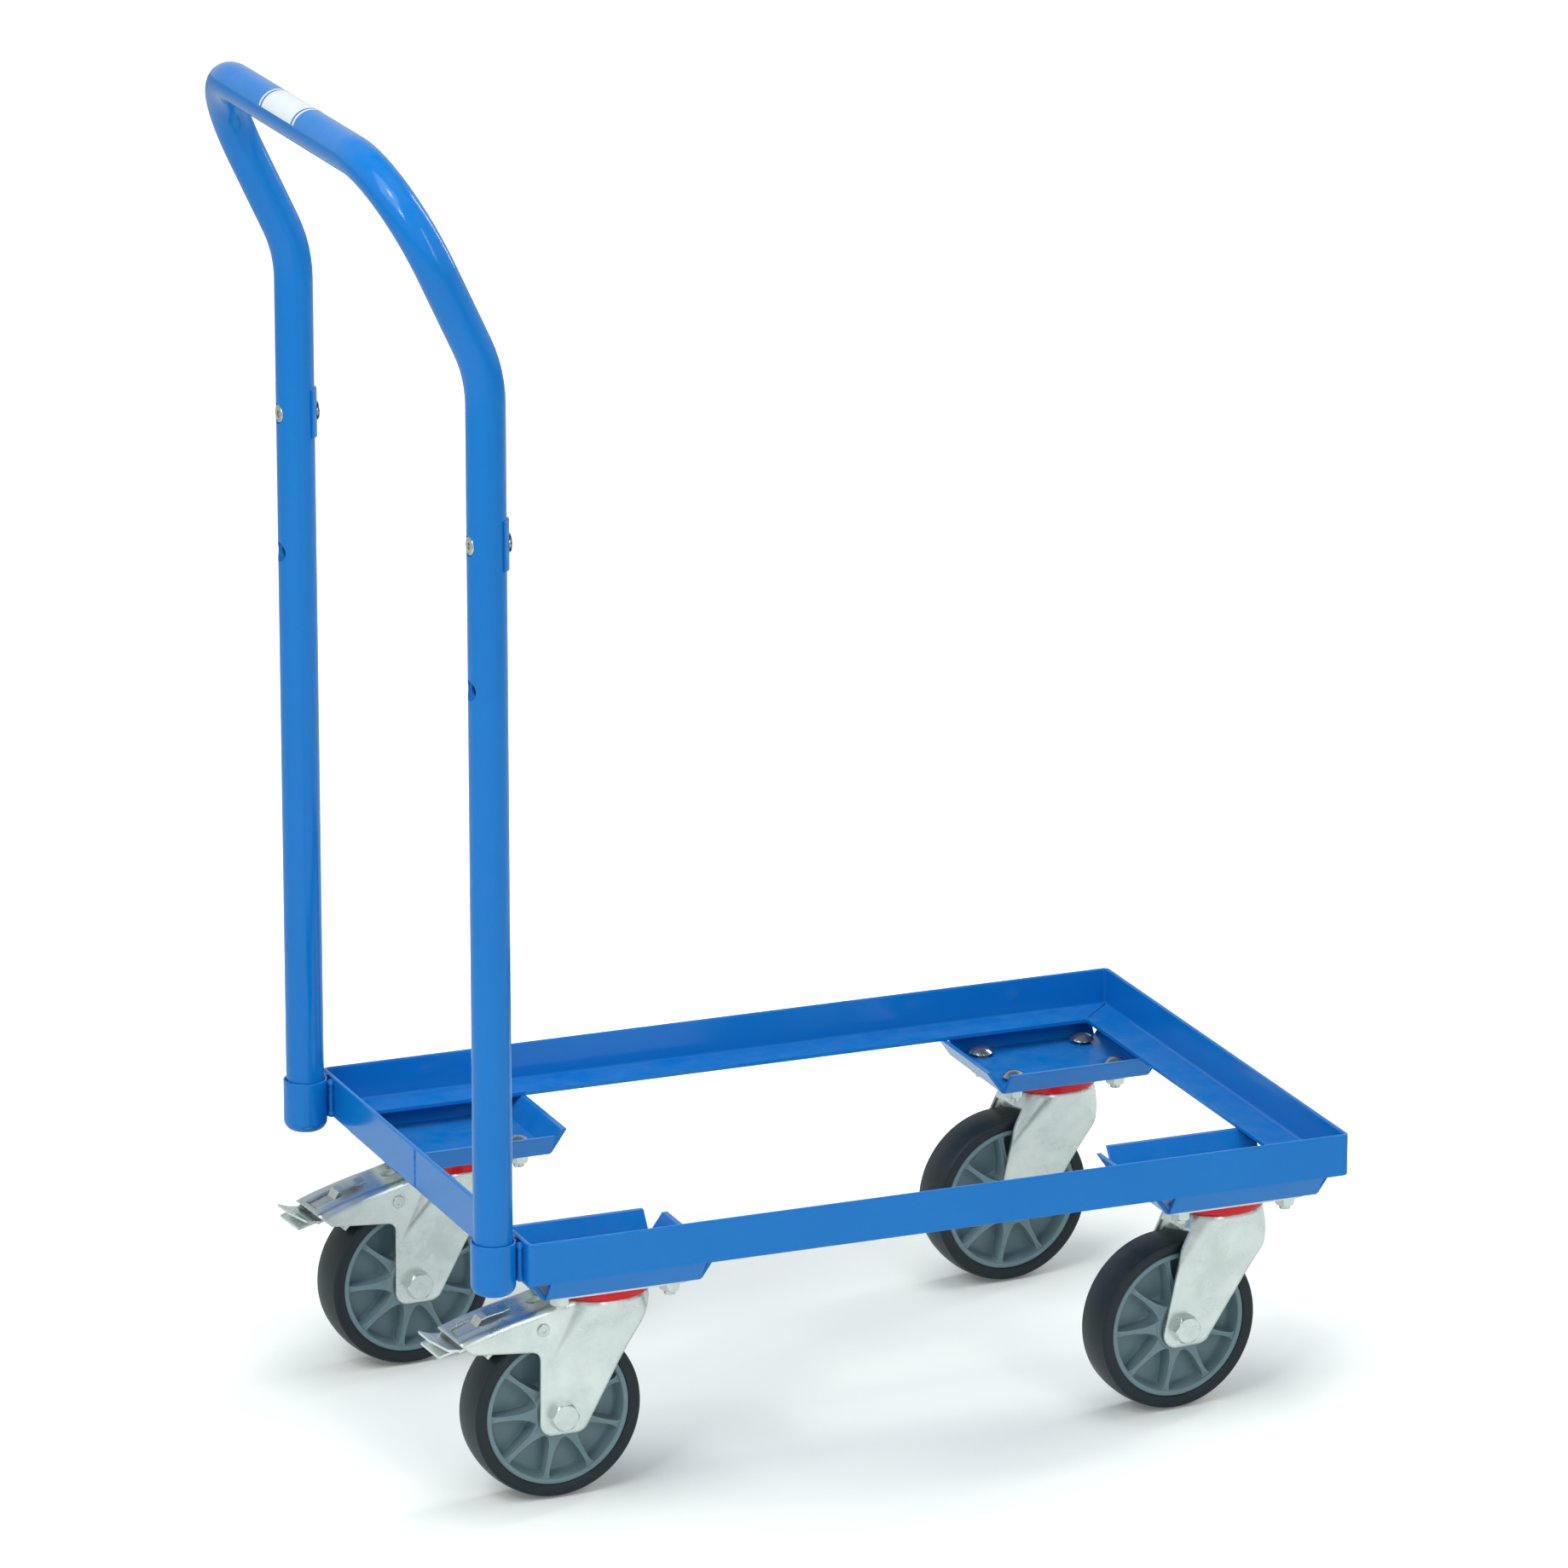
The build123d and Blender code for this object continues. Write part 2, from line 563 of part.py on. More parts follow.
# --- brake ---------------------------------------------------------------------------------------------
def pedal_band(points, half_width, thickness=PEDAL_T):
    """Bent strip of sheet: a line in side view, given its thickness downwards, then its width."""
    upper = Polyline(*[Vector(u, 0, z) for u, z in points])
    lower = [Vector(u, 0, z - thickness) for u, z in reversed(points)]
    first = Vector(points[0][0], 0, points[0][1])
    rest = Polyline(Vector(points[-1][0], 0, points[-1][1]), *lower, first)
    return side_plate(make_face(upper + rest), -half_width, half_width)


def brake_pedal():
    drop = FORK_T + 1.5
    web = pedal_band([(-111, 123.0 - drop), (-90, 131 - drop), (-70, 135 - drop), (-58, 136.4 - drop)], PEDAL_HALF)
    lip = pedal_band([(-126, 123.6), (-118, 120.6), (-110, 123.4 - drop)], 18.0)
    lip -= Pos(-126, -18, 120) * Rot(0, 0, -70) * Box(40, 12, 20)
    release = pedal_band([(-125, 115.8), (-118, 117.6), (-110, 123.4 - drop)], 16.0, 1.8)
    pedal = web + lip + release
    ear_face = polygon_xz([(-72, 132), (-54, 133.5), (-44.5, 130), (-44, 123), (-50, 118.8), (-56, 119.5)])
    for side in (-1, 1):
        v0, v1 = sorted((side * (PEDAL_HALF - PEDAL_T), side * PEDAL_HALF))
        pedal += side_plate(ear_face, v0, v1)
    centre = Vector(-TRAIL, 0, WHEEL_R)
    shoe_turn = radians(133.5)
    reach = WHEEL_R + SHOE_GAP + 1.5
    shoe_at = centre + Vector(reach * cos(shoe_turn), 0, reach * sin(shoe_turn))
    pad = Pos(shoe_at) * Rot(0, 90 - degrees(shoe_turn), 0) * Box(12, 22, 3)
    arm = block(shoe_at.X - 1.2, shoe_at.X + 1.2, -11, 11, shoe_at.Z, 129.5)
    pedal += pad + arm
    return pedal - cross_rod(PIVOT_R + RUNNING, -60, 60, PIVOT_U, PIVOT_Z)


def pivot_rivets():
    rivets = []
    for side in (-1, 1):
        v0, v1 = sorted((side * (PEDAL_HALF - PEDAL_T - 0.3), side * CHEEK_OUT))
        stub = cross_rod(PIVOT_R, v0, v1, PIVOT_U, PIVOT_Z)
        head_end = CHEEK_OUT + RIVET_HEAD_T
        head = cross_rod(RIVET_HEAD_R, *sorted((side * CHEEK_OUT, side * head_end)), PIVOT_U, PIVOT_Z)
        head -= cross_rod(1.8, *sorted((side * (head_end - 0.7), side * (head_end + 1))), PIVOT_U, PIVOT_Z)
        rivets.append(stub + head)
    return rivets


def brake_spring():
    """Catch spring bent up out of the slot in the hood."""
    path = [(-106, 124.4), (-92.5, 128.8), (-89.4, 134.2), (-85, 135.6), (-80, 136.6), (-74, 137.4), (-68, 139.4)]
    return pedal_band(path, SPRING_HALF, 1.0)


# --- placing and writing ---------------------------------------------------------------------------------
def place(shape, side_x, side_y, yaw):
    return Pos(side_x * CASTER_X, side_y * CASTER_Y, 0) * Rot(0, 0, yaw) * shape


def solids_of(made):
    pieces = made if isinstance(made, list) else [made]
    return [solid for piece in pieces for solid in piece.solids()]


def write(node, made):
    moved = [Pos(SHIFT_X, 0, 0) * solid for solid in solids_of(made)]
    shape = moved[0] if len(moved) == 1 else Compound(children=moved)
    export_step(shape, f"parts/{node}.step")


def main():
    os.makedirs("parts", exist_ok=True)
    write("angle_frame", angle_frame())
    write("weld_beads", weld_beads())
    write("socket_right", socket(-1))
    write("socket_left", socket(1))
    write("push_bar", push_bar())
    write("saddle_pads", saddle_pads())
    write("handle_screws", handle_screws())
    write("rivet_nuts", rivet_nuts())
    write("grip_label", grip_label())
    write("plate_bolts", plate_bolts())
    write("plate_nuts", plate_nuts())

    plate = caster_plate()
    pin = king_pin()
    balls = swivel_balls()
    ring = dust_ring()
    forks = {True: swivel_fork(True), False: swivel_fork(False)}
    shared = {
        "swivel_balls": balls,
        "dust_ring": [ring],
        "axle_bolt": [axle_bolt()],
        "axle_nut": [axle_nut()],
        "axle_sleeve": [axle_sleeve()],
        "wheel_centre": [wheel_centre()],
        "tyre": [tyre()],
    }
    brake = {
        "brake_pedal": [brake_pedal()],
        "pivot_rivets": pivot_rivets(),
        "brake_spring": [brake_spring()],
    }
    king_pins = []
    for corner, (side_x, side_y, yaw, braked) in CORNERS.items():
        write(f"tray_{corner}", tray(side_x, side_y))
        write(f"caster_plate_{corner}", place(plate, side_x, side_y, 0))
        king_pins.append(place(pin, side_x, side_y, 0))
        write(f"fork_{corner}", place(forks[braked], side_x, side_y, yaw))
        pieces = {**shared, **brake} if braked else shared
        for name, shapes in pieces.items():
            write(f"{name}_{corner}", [place(shape, side_x, side_y, yaw) for shape in shapes])
    write("king_pins", king_pins)


main()
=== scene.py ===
# %% [markdown]
# # A box dolly with a push bar
#
# The real thing is a welded frame of blue angle steel on four rubber-tyred swivel casters, with a bent
# tube to push it by. The CAD model already holds every part at its true size, so this lesson does
# two things: it gives each finish a procedural material, and it remodels the parts that live by
# their curves: the tyres, the ribbed wheel centres and the weld beads.

# %% Load the frame
import json
import random
from math import cos, pi, radians, sin, sqrt

import bmesh
import bpy
from mathutils import Matrix, Vector


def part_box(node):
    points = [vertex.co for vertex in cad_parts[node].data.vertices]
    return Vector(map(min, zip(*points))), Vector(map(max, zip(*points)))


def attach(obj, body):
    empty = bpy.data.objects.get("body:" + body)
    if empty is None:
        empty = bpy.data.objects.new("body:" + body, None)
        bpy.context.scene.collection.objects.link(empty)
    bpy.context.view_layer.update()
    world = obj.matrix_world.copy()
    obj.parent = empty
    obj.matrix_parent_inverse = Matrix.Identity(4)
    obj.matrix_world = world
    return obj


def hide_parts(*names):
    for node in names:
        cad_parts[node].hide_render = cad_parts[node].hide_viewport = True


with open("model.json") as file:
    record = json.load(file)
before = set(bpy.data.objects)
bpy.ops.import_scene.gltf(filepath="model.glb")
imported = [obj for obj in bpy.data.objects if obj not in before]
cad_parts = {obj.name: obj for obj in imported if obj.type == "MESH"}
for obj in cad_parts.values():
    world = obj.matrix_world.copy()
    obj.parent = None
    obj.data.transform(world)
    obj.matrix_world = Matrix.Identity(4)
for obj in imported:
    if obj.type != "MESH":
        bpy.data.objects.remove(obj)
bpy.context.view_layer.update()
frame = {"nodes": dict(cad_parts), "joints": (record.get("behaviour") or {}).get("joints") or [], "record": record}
MM = 0.001
NODES = frame["nodes"]
JOINTS = {joint["name"]: joint for joint in frame["joints"]}
CORNERS = ("rear_right", "rear_left", "front_right", "front_left")

# %% [markdown]
# ## Camera
#
# Catalogue views are taken from far away with a long lens, which keeps upright posts nearly parallel.
# The camera is put on a sphere round the dolly: an azimuth and an elevation give the direction, and a
# distance with a focal length gives the framing. A wide lens close by would frame the same, but the
# near wheels would look much larger than the far ones.

# %% Place the camera
CAMERA_AZIMUTH = radians(-22.39)
CAMERA_ELEVATION = radians(16.75)
CAMERA_DISTANCE = 6.828
CAMERA_LENS = 226.1
CAMERA_TARGET = Vector((0.0126, 0.0, 0.4379))


def direction(azimuth, elevation):
    """Unit vector from the dolly towards a viewer; azimuth 0 is a viewer at -Y."""
    flat = cos(elevation)
    return Vector((sin(azimuth) * flat, -cos(azimuth) * flat, sin(elevation)))


def look_from(thing, place, target):
    """Put a lamp or a camera at place and turn it to the target."""
    thing.location = place
    thing.rotation_mode = "QUATERNION"
    thing.rotation_quaternion = (target - place).to_track_quat("-Z", "Y")


camera_data = bpy.data.cameras.new("camera")
camera_data.lens = CAMERA_LENS
camera_data.sensor_width = 36.0
camera_data.clip_end = 100.0
camera = bpy.data.objects.new("camera", camera_data)
bpy.context.scene.collection.objects.link(camera)
view_back = direction(CAMERA_AZIMUTH, CAMERA_ELEVATION)
look_from(camera, CAMERA_TARGET + view_back * CAMERA_DISTANCE, CAMERA_TARGET)
bpy.context.scene.camera = camera
print("camera at", [round(c, 3) for c in camera.location])

# %% [markdown]
# ## Studio
#
# A catalogue studio is a big pale room: light comes from everywhere, so shadows are faint and lie
# close under the wheels. A bright world makes that wrap-around light, and large area lamps add the long
# soft highlights that show a tube to be round. Two small lamps put crisp glints on the bends; they are
# weak, because strong small lamps would draw hard shadows. Away from the dolly the floor glows, for the
# camera only, so that it melts into the white backdrop without lighting the dolly from below.

# %% Floor
FLOOR_HALF = 12.0
GLOW_START = 0.15
GLOW_FULL = 0.85
GLOW_NEAR = 0.03
GLOW_FAR = 0.75

scene = bpy.context.scene
scene.view_settings.view_transform = "Standard"
scene.view_settings.look = "None"


def new_material(name):
    """An empty material with a Principled shader wired to its output."""
    material = bpy.data.materials.new(name)
    material.use_nodes = True
    tree = material.node_tree
    tree.nodes.clear()
    output = tree.nodes.new("ShaderNodeOutputMaterial")
    shader = tree.nodes.new("ShaderNodeBsdfPrincipled")
    tree.links.new(shader.outputs["BSDF"], output.inputs["Surface"])
    return material, tree, shader


def make_floor():
    """A matt floor whose glow, seen by the camera only, grows with the distance from the dolly."""
    bm = bmesh.new()
    bmesh.ops.create_grid(bm, x_segments=1, y_segments=1, size=FLOOR_HALF)
    mesh = bpy.data.meshes.new("floor")
    bm.to_mesh(mesh)
    bm.free()
    floor = bpy.data.objects.new("floor", mesh)
    scene.collection.objects.link(floor)
    material, tree, shader = new_material("studio_floor")
    shader.inputs["Base Color"].default_value = (0.905, 0.94, 0.90, 1.0)
    shader.inputs["Roughness"].default_value = 0.8
    shader.inputs["Specular IOR Level"].default_value = 0.0
    coordinates = tree.nodes.new("ShaderNodeTexCoord")
    distance = tree.nodes.new("ShaderNodeVectorMath")
    distance.operation = "LENGTH"
    tree.links.new(coordinates.outputs["Object"], distance.inputs[0])
    # The glow is painted light: it is weak near the dolly, so the floor round it is painted darker as a painted
    # shade.
    fade = tree.nodes.new("ShaderNodeMapRange")
    fade.interpolation_type = "SMOOTHSTEP"
    fade.inputs["From Min"].default_value = GLOW_START
    fade.inputs["From Max"].default_value = GLOW_FULL
    fade.inputs["To Min"].default_value = GLOW_NEAR
    fade.inputs["To Max"].default_value = GLOW_FAR
    tree.links.new(distance.outputs["Value"], fade.inputs["Value"])
    path = tree.nodes.new("ShaderNodeLightPath")
    glow = tree.nodes.new("ShaderNodeMath")
    glow.operation = "MULTIPLY"
    tree.links.new(fade.outputs["Result"], glow.inputs[0])
    tree.links.new(path.outputs["Is Camera Ray"], glow.inputs[1])
    shader.inputs["Emission Color"].default_value = (1.0, 1.0, 1.0, 1.0)
    tree.links.new(glow.outputs[0], shader.inputs["Emission Strength"])
    mesh.materials.append(material)


make_floor()
print("floor", 2 * FLOOR_HALF, "m wide")

# %% World and lamps
LAMP_AIM = Vector((0.0, 0.0, 0.35))


def area_lamp(name, azimuth, elevation, distance, size, power):
    """A rectangular lamp aimed at the middle of the dolly; angles in degrees, power in watts."""
    data = bpy.data.lights.new(name, "AREA")
    data.shape = "RECTANGLE"
    data.size, data.size_y = size
    data.energy = power
    lamp = bpy.data.objects.new(name, data)
    scene.collection.objects.link(lamp)
    look_from(lamp, LAMP_AIM + direction(radians(azimuth), radians(elevation)) * distance, LAMP_AIM)
    return lamp


def studio_world():
    """Bright walls, a dimmer ceiling, and a white backdrop that only the camera sees."""
    world = bpy.data.worlds.new("studio")
    world.use_nodes = True
    tree = world.node_tree
    tree.nodes.clear()
    coordinates = tree.nodes.new("ShaderNodeTexCoord")
    split = tree.nodes.new("ShaderNodeSeparateXYZ")
    ramp = tree.nodes.new("ShaderNodeValToRGB")
    ramp.color_ramp.interpolation = "EASE"
    ramp.color_ramp.elements[0].position = 0.30
    ramp.color_ramp.elements[0].color = (0.63, 0.67, 0.665, 1.0)
    ramp.color_ramp.elements[1].position = 0.85
    ramp.color_ramp.elements[1].color = (0.06, 0.09, 0.115, 1.0)
    tree.links.new(coordinates.outputs["Generated"], split.inputs[0])
    tree.links.new(split.outputs["Z"], ramp.inputs["Fac"])
    room = tree.nodes.new("ShaderNodeBackground")
    tree.links.new(ramp.outputs["Color"], room.inputs["Color"])
    backdrop = tree.nodes.new("ShaderNodeBackground")
    backdrop.inputs["Color"].default_value = (1.0, 1.0, 1.0, 1.0)
    path = tree.nodes.new("ShaderNodeLightPath")
    mix = tree.nodes.new("ShaderNodeMixShader")
    output = tree.nodes.new("ShaderNodeOutputWorld")
    tree.links.new(path.outputs["Is Camera Ray"], mix.inputs["Fac"])
    tree.links.new(room.outputs["Background"], mix.inputs[1])
    tree.links.new(backdrop.outputs["Background"], mix.inputs[2])
    tree.links.new(mix.outputs["Shader"], output.inputs["Surface"])
    return world


scene.world = studio_world()
area_lamp("key_left", -62, 48, 3.2, (1.8, 1.8), 34)
area_lamp("strip_front", 12, 26, 3.4, (0.35, 1.6), 12)
top_light = area_lamp("top_light", 0, 86, 3.0, (1.8, 1.8), 40)
top_light.visible_glossy = False
area_lamp("rim_right", 108, 30, 3.2, (0.30, 1.8), 22)
area_lamp("glint_low", -46, 34, 3.2, (0.26, 0.26), 6.5)
area_lamp("glint_high", -57, 51, 3.2, (0.30, 0.22), 7.5)
print("lamps", len(bpy.data.lights))

# %% [markdown]
# ## Effects shared by several finishes
#
# Soft edges painted paler, partly as thin paint and partly as a painted highlight, the faint orange-peel
# of sprayed paint, a cloudy plating and a veil of dust turn up on more than one material. Each is built once
# as a node group with named inputs, and each material places it with its own numbers. A group only hands
# out masks, heights, colours and normals; the shader stays in the material, where it is easy to find.

# %% Helpers for node groups
def new_group(name, inputs, outputs):
    """A shader node group with named sockets; returns the tree and its two end nodes."""
    tree = bpy.data.node_groups.new(name, "ShaderNodeTree")
    for label, kind, value in inputs:
        socket = tree.interface.new_socket(label, in_out="INPUT", socket_type=kind)
        if value is not None:
            socket.default_value = value
    for label, kind in outputs:
        tree.interface.new_socket(label, in_out="OUTPUT", socket_type=kind)
    return tree, tree.nodes.new("NodeGroupInput"), tree.nodes.new("NodeGroupOutput")


FLOAT = "NodeSocketFloat"
VECTOR = "NodeSocketVector"


def add_math(tree, operation, first, second=None, clamp=False):
    """Math node; each operand is a socket or a number."""
    node = tree.nodes.new("ShaderNodeMath")
    node.operation = operation
    node.use_clamp = clamp
    for socket, value in zip(node.inputs, (first, second)):
        if value is None:
            continue
        if isinstance(value, (int, float)):
            socket.default_value = value
        else:
            tree.links.new(value, socket)
    return node.outputs[0]


def add_noise(tree, vector, scale, detail=3.0, roughness=0.55):
    """Noise node; the scale is a socket or a number."""
    node = tree.nodes.new("ShaderNodeTexNoise")
    node.inputs["Detail"].default_value = detail
    node.inputs["Roughness"].default_value = roughness
    tree.links.new(vector, node.inputs["Vector"])
    if isinstance(scale, (int, float)):
        node.inputs["Scale"].default_value = scale
    else:
        tree.links.new(scale, node.inputs["Scale"])
    return node.outputs["Fac"]


def add_range(tree, value, low, high, to_low=0.0, to_high=1.0):
    """Map Range node, clamped; the limits of the source range are sockets or numbers."""
    node = tree.nodes.new("ShaderNodeMapRange")
    tree.links.new(value, node.inputs["Value"])
    for label, number in (("From Min", low), ("From Max", high), ("To Min", to_low), ("To Max", to_high)):
        if isinstance(number, (int, float)):
            node.inputs[label].default_value = number
        else:
            tree.links.new(number, node.inputs[label])
    return node.outputs["Result"]


def add_mix(tree, factor, first, second):
    """Colour mix; each operand is a socket or an RGB triple."""
    node = tree.nodes.new("ShaderNodeMix")
    node.data_type = "RGBA"
    tree.links.new(factor, node.inputs["Factor"])
    for index, value in ((6, first), (7, second)):
        if isinstance(value, tuple):
            node.inputs[index].default_value = (*value, 1.0)
        else:
            tree.links.new(value, node.inputs[index])
    return node.outputs[2]


def object_coordinates(tree, stretch=(1.0, 1.0, 1.0)):
    """Object coordinates, stretched along the axes."""
    coordinates = tree.nodes.new("ShaderNodeTexCoord")
    mapping = tree.nodes.new("ShaderNodeMapping")
    mapping.inputs["Scale"].default_value = stretch
    tree.links.new(coordinates.outputs["Object"], mapping.inputs["Vector"])
    return mapping.outputs["Vector"]


print("socket kinds", FLOAT, VECTOR)

# %% [markdown]
# ## The five effects
#
# The edge mask compares the true normal with one rounded by a Bevel node: they differ only near an edge.
# Dust looks at how far a face turns upwards. The other three are noise, shaped in different ways.

# %% Edges, dust, peel, cloud and scuffs
def edge_group():
    """Soft edge normal and a mask that is 1 on convex and concave edges."""
    outputs = [("Normal", VECTOR), ("Edge", FLOAT)]
    tree, start, end = new_group("soft_edges", [("Radius", FLOAT, 0.001)], outputs)
    bevel = tree.nodes.new("ShaderNodeBevel")
    bevel.samples = 6
    tree.links.new(start.outputs["Radius"], bevel.inputs["Radius"])
    geometry = tree.nodes.new("ShaderNodeNewGeometry")
    dot = tree.nodes.new("ShaderNodeVectorMath")
    dot.operation = "DOT_PRODUCT"
    tree.links.new(bevel.outputs["Normal"], dot.inputs[0])
    tree.links.new(geometry.outputs["Normal"], dot.inputs[1])
    tree.links.new(bevel.outputs["Normal"], end.inputs["Normal"])
    tree.links.new(add_range(tree, dot.outputs["Value"], 0.99, 0.80), end.inputs["Edge"])
    return tree


def dust_group():
    """Dust that settles on faces looking up, broken by noise."""
    inputs = [("Amount", FLOAT, 0.3), ("Scale", FLOAT, 40.0)]
    tree, start, end = new_group("settled_dust", inputs, [("Mask", FLOAT)])
    coordinates = tree.nodes.new("ShaderNodeTexCoord")
    split = tree.nodes.new("ShaderNodeSeparateXYZ")
    tree.links.new(coordinates.outputs["Normal"], split.inputs[0])
    upward = add_range(tree, split.outputs["Z"], 0.2, 1.0)
    patches = add_noise(tree, coordinates.outputs["Object"], start.outputs["Scale"], 5.0, 0.65)
    patches = add_range(tree, patches, 0.35, 0.75)
    mask = add_math(tree, "MULTIPLY", upward, patches)
    tree.links.new(add_math(tree, "MULTIPLY", mask, start.outputs["Amount"]), end.inputs["Mask"])
    return tree


def peel_group():
    """Height of sprayed or moulded skin: a fine ripple over a slow swell."""
    inputs = [("Fine Scale", FLOAT, 900.0), ("Slow Scale", FLOAT, 60.0)]
    tree, start, end = new_group("skin_ripple", inputs, [("Height", FLOAT)])
    place = object_coordinates(tree)
    fine = add_noise(tree, place, start.outputs["Fine Scale"], 2.0)
    slow = add_noise(tree, place, start.outputs["Slow Scale"], 2.0)
    total = add_math(tree, "ADD", add_math(tree, "MULTIPLY", fine, 0.35), slow)
    tree.links.new(total, end.inputs["Height"])
    return tree


def cloud_group():
    """Plated steel: cloudy patches and fine grain along the rolled sheet."""
    inputs = [("Scale", FLOAT, 30.0), ("Grain", FLOAT, 0.4)]
    tree, start, end = new_group("plating_cloud", inputs, [("Mask", FLOAT), ("Grain Height", FLOAT)])
    patches = add_noise(tree, object_coordinates(tree), start.outputs["Scale"], 6.0, 0.62)
    grain = add_noise(tree, object_coordinates(tree, (1.0, 1.0, 9.0)), 420.0, 3.0, 0.6)
    soft_grain = add_math(tree, "MULTIPLY", add_math(tree, "SUBTRACT", grain, 0.5), start.outputs["Grain"])
    total = add_math(tree, "ADD", add_range(tree, patches, 0.3, 0.7), soft_grain, clamp=True)
    tree.links.new(total, end.inputs["Mask"])
    tree.links.new(grain, end.inputs["Grain Height"])
    return tree


def scuff_group():
    """Short handling marks: stretched noise, cut so that only its peaks stay."""
    inputs = [("Scale", FLOAT, 90.0), ("Threshold", FLOAT, 0.62)]
    tree, start, end = new_group("handling_scuffs", inputs, [("Mask", FLOAT)])
    long_way = add_noise(tree, object_coordinates(tree, (1.0, 7.0, 2.0)), start.outputs["Scale"], 4.0, 0.7)
    cross_way = add_noise(tree, object_coordinates(tree, (6.0, 1.0, 3.0)), start.outputs["Scale"], 4.0, 0.7)
    both = add_math(tree, "MAXIMUM", long_way, cross_way)
    top = add_math(tree, "ADD", start.outputs["Threshold"], 0.12)
    tree.links.new(add_range(tree, both, start.outputs["Threshold"], top), end.inputs["Mask"])
    return tree


GROUPS = {
    "edges": edge_group(),
    "dust": dust_group(),
    "peel": peel_group(),
    "cloud": cloud_group(),
    "scuffs": scuff_group(),
}
print("node groups", sorted(GROUPS))


def place_group(tree, key, **values):
    """Put a shared effect into a material with its own numbers."""
    node = tree.nodes.new("ShaderNodeGroup")
    node.node_tree = GROUPS[key]
    for label, value in values.items():
        node.inputs[label.replace("_", " ")].default_value = value
    return node


def add_bump(tree, height, normal, strength, distance):
    """Bump node on top of a normal; the distance is in metres."""
    node = tree.nodes.new("ShaderNodeBump")
    node.inputs["Strength"].default_value = strength
    node.inputs["Distance"].default_value = distance
    tree.links.new(height, node.inputs["Height"])
    tree.links.new(normal, node.inputs["Normal"])
    return node.outputs["Normal"]


# %% [markdown]
# ## Blue powder coat
#
# Powder is sprayed dry and baked, so it flows into a glossy skin with a slight orange-peel. It pulls
# back from sharp edges, and the edge tone paints those edges a little lighter: partly thin paint, partly a
# painted highlight; the same mask also lightens inside corners, and there it is a painted highlight only. A plain
# blue with low roughness would look like a toy; the ripple and the edge tone make it sprayed steel.

# %% Blue powder coat
def blue_powder_coat():
    material, tree, shader = new_material("blue_powder_coat")
    edges = place_group(tree, "edges", Radius=0.0011)
    peel = place_group(tree, "peel", Fine_Scale=700.0, Slow_Scale=150.0)
    dust = place_group(tree, "dust", Amount=0.10, Scale=55.0)
    scuffs = place_group(tree, "scuffs", Scale=60.0, Threshold=0.70)
    tone = add_noise(tree, object_coordinates(tree), 7.0, 3.0)
    colour = add_mix(tree, tone, (0.0028, 0.165, 0.535), (0.0042, 0.196, 0.615))
    # Edges and inside corners painted lighter: partly thin paint, partly a painted highlight.
    thin_paint_and_highlight = add_math(tree, "MULTIPLY", edges.outputs["Edge"], 0.35)
    colour = add_mix(tree, thin_paint_and_highlight, colour, (0.035, 0.26, 0.66))
    colour = add_mix(tree, dust.outputs["Mask"], colour, (0.36, 0.42, 0.48))
    tree.links.new(colour, shader.inputs["Base Color"])
    rough = add_math(tree, "ADD", add_math(tree, "MULTIPLY", dust.outputs["Mask"], 0.6), 0.14)
    rough = add_math(tree, "ADD", rough, add_math(tree, "MULTIPLY", scuffs.outputs["Mask"], 0.16))
    tree.links.new(rough, shader.inputs["Roughness"])
    normal = add_bump(tree, peel.outputs["Height"], edges.outputs["Normal"], 0.12, 0.0003)
    tree.links.new(normal, shader.inputs["Normal"])
    shader.inputs["Specular IOR Level"].default_value = 0.30
    return material


FINISH = {"blue_paint": blue_powder_coat()}
print("finish", FINISH["blue_paint"].name, "nodes", len(FINISH["blue_paint"].node_tree.nodes))

# %% [markdown]
# ## Zinc and bright steel
#
# The forks, plates and nuts are zinc plated: a bright metal, cloudy where the bath was uneven, with the
# grain of the rolled sheet showing through. Metal gets its colour from its reflection, so the Base
# Color is that reflection colour and the cloud goes mostly into the roughness. The edges get a painted
# highlight, a paler reflection colour. A fork is pressed, so its folds are rounder than a cut edge: it has
# the same zinc with a wider soft edge and a fainter painted edge highlight.

# %% Zinc and bright steel
def plated_steel(name, colours, rough, grain, cloud_scale, edge_radius=0.0007, highlight_share=0.5):
    material, tree, shader = new_material(name)
    edges = place_group(tree, "edges", Radius=edge_radius)
    cloud = place_group(tree, "cloud", Scale=cloud_scale, Grain=grain)
    scuffs = place_group(tree, "scuffs", Scale=140.0, Threshold=0.66)
    colour = add_mix(tree, cloud.outputs["Mask"], *colours)
    # Edges painted towards a pale reflection colour: a painted highlight.
    painted_edge_highlight = add_math(tree, "MULTIPLY", edges.outputs["Edge"], highlight_share)
    colour = add_mix(tree, painted_edge_highlight, colour, (0.93, 0.95, 0.96))
    tree.links.new(colour, shader.inputs["Base Color"])
    shader.inputs["Metallic"].default_value = 0.92
    rough_map = add_range(tree, cloud.outputs["Mask"], 0.0, 1.0, *rough)
    rough_map = add_math(tree, "ADD", rough_map, add_math(tree, "MULTIPLY", scuffs.outputs["Mask"], 0.12))
    tree.links.new(rough_map, shader.inputs["Roughness"])
    normal = add_bump(tree, cloud.outputs["Grain Height"], edges.outputs["Normal"], 0.10, 0.0001)
    tree.links.new(normal, shader.inputs["Normal"])
    return material


